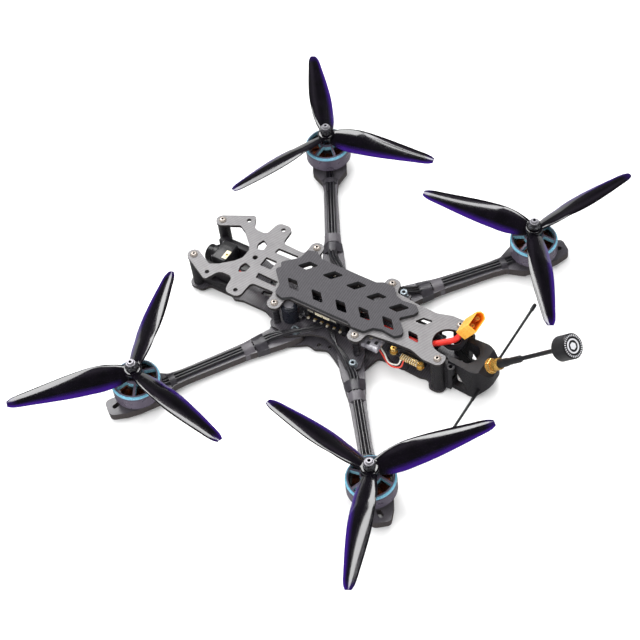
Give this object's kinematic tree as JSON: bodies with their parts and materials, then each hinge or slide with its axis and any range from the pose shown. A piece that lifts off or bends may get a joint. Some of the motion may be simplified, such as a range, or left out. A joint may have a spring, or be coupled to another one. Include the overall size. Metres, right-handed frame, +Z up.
{
  "type": "fpv racing drone",
  "caption": "Seven-inch FPV racing quadcopter with a flat carbon frame, three-blade propellers, tilting camera, rear antenna mount and battery plug; no battery fitted.",
  "frame": {"origin": "midway between the four motors, on the underside of the bottom plate", "axes": "+Z up, +Y towards the camera end (forward), +X towards the starboard side"},
  "size_m": [0.3982, 0.34, 0.0959],
  "materials": {
    "carbon_plate": "satin woven carbon fibre plate, fine twill, darker cut edges",
    "carbon_arm": "dark carbon fibre arm and lower plates, fine twill, chamfered edges",
    "battery_pad": "matt ribbed grip pad",
    "tpu": "black printed flexible plastic with fine layer lines",
    "black_hardware": "black anodised standoffs with bronze-grey button head screws",
    "stator": "laminated steel teeth wound with enamelled copper",
    "motor_bell": "gunmetal anodised bell with a light blue turned rim",
    "motor_base": "dark anodised aluminium",
    "propeller": "glossy near-black polycarbonate with a violet tint at thin edges",
    "prop_nut": "dark lock nut",
    "black_plastic": "black moulded plastic, slightly satin",
    "lens": "black lens barrel with a coated glass element",
    "gold": "gold plated threaded connector",
    "plug_yellow": "yellow-orange nylon plug",
    "wire_red": "red silicone wire",
    "wire_black": "black silicone wire",
    "circuit": "black circuit board with tinned pads and chips",
    "heat_shrink": "clear heat-shrink over a small board",
    "button": "tan tactile button"
  },
  "bodies": {
    "frame": {"antenna_mount": "tpu", "arm_fl": "carbon_arm", "arm_fr": "carbon_arm", "arm_rl": "carbon_arm", "arm_rr": "carbon_arm", "battery_lead_negative": "wire_black", "battery_lead_positive": "wire_red", "battery_pad": "battery_pad", "battery_plug": "plug_yellow", "bottom_plate": "carbon_arm", "camera_bracket_left": "tpu", "camera_bracket_right": "tpu", "capacitor": "black_plastic", "esc_board": "circuit", "flight_controller": "circuit", "middle_plate": "carbon_arm", "motor_base_fl": "motor_base", "motor_base_fr": "motor_base", "motor_base_rl": "motor_base", "motor_base_rr": "motor_base", "motor_leads_fl": "wire_black", "motor_leads_fr": "wire_black", "motor_leads_rl": "wire_black", "motor_leads_rr": "wire_black", "radio_receiver": "heat_shrink", "receiver_antenna_left": "black_plastic", "receiver_antenna_right": "black_plastic", "sma_jack": "gold", "standoff_front_left": "black_hardware", "standoff_front_right": "black_hardware", "standoff_mid_left": "black_hardware", "standoff_mid_right": "black_hardware", "standoff_nose_left": "black_hardware", "standoff_nose_right": "black_hardware", "standoff_tail_left": "black_hardware", "standoff_tail_right": "black_hardware", "stator_fl": "stator", "stator_fr": "stator", "stator_rl": "stator", "stator_rr": "stator", "top_plate": "carbon_plate", "video_transmitter": "circuit"},
    "camera": {"camera_body": "black_plastic"},
    "lens": {"camera_lens": "lens"},
    "antenna": {"vtx_antenna": "black_plastic"},
    "coupling_nut": {"antenna_coupling_nut": "gold"},
    "boot_button": {"boot_button": "button"},
    "vtx_button": {"vtx_button": "button"},
    "rotor_fl": {"bell_fl": "motor_bell", "propeller_fl": "propeller", "prop_nut_fl": "prop_nut"},
    "rotor_fr": {"bell_fr": "motor_bell", "propeller_fr": "propeller", "prop_nut_fr": "prop_nut"},
    "rotor_rl": {"bell_rl": "motor_bell", "propeller_rl": "propeller", "prop_nut_rl": "prop_nut"},
    "rotor_rr": {"bell_rr": "motor_bell", "propeller_rr": "propeller", "prop_nut_rr": "prop_nut"}
  },
  "joints": [
    {"name": "rotor_spin_fl", "type": "hinge", "parent": "frame", "child": "rotor_fl", "pos_m": [-0.1276, 0.0929, 0.0196], "axis": [0, 0, 1], "continuous": true},
    {"name": "rotor_spin_fr", "type": "hinge", "parent": "frame", "child": "rotor_fr", "pos_m": [0.1276, 0.0929, 0.0196], "axis": [0, 0, 1], "continuous": true},
    {"name": "rotor_spin_rl", "type": "hinge", "parent": "frame", "child": "rotor_rl", "pos_m": [-0.1165, -0.0929, 0.0196], "axis": [0, 0, 1], "continuous": true},
    {"name": "rotor_spin_rr", "type": "hinge", "parent": "frame", "child": "rotor_rr", "pos_m": [0.1165, -0.0929, 0.0196], "axis": [0, 0, 1], "continuous": true},
    {"name": "camera_tilt", "type": "hinge", "parent": "frame", "child": "camera", "pos_m": [0, 0.106, 0.015], "axis": [1, 0, 0], "range_deg": [-10, 35]},
    {"name": "lens_focus", "type": "hinge", "parent": "camera", "child": "lens", "pos_m": [0, 0.1114, 0.015], "axis": [0, 1, 0], "range_deg": [-180, 180]},
    {"name": "antenna_swivel", "type": "hinge", "parent": "frame", "child": "antenna", "pos_m": [0, -0.1198, 0.0263], "axis": [0, -0.6947, 0.7193], "range_deg": [-180, 180]},
    {"name": "coupling_nut_turn", "type": "hinge", "parent": "frame", "child": "coupling_nut", "pos_m": [0, -0.1198, 0.0263], "axis": [0, -0.6947, 0.7193], "continuous": true},
    {"name": "boot_button_press", "type": "slide", "parent": "frame", "child": "boot_button", "axis": [0, 0, -1], "range_m": [0, 0.0003]},
    {"name": "vtx_button_press", "type": "slide", "parent": "frame", "child": "vtx_button", "axis": [0, 0, -1], "range_m": [0, 0.0003]}
  ]
}
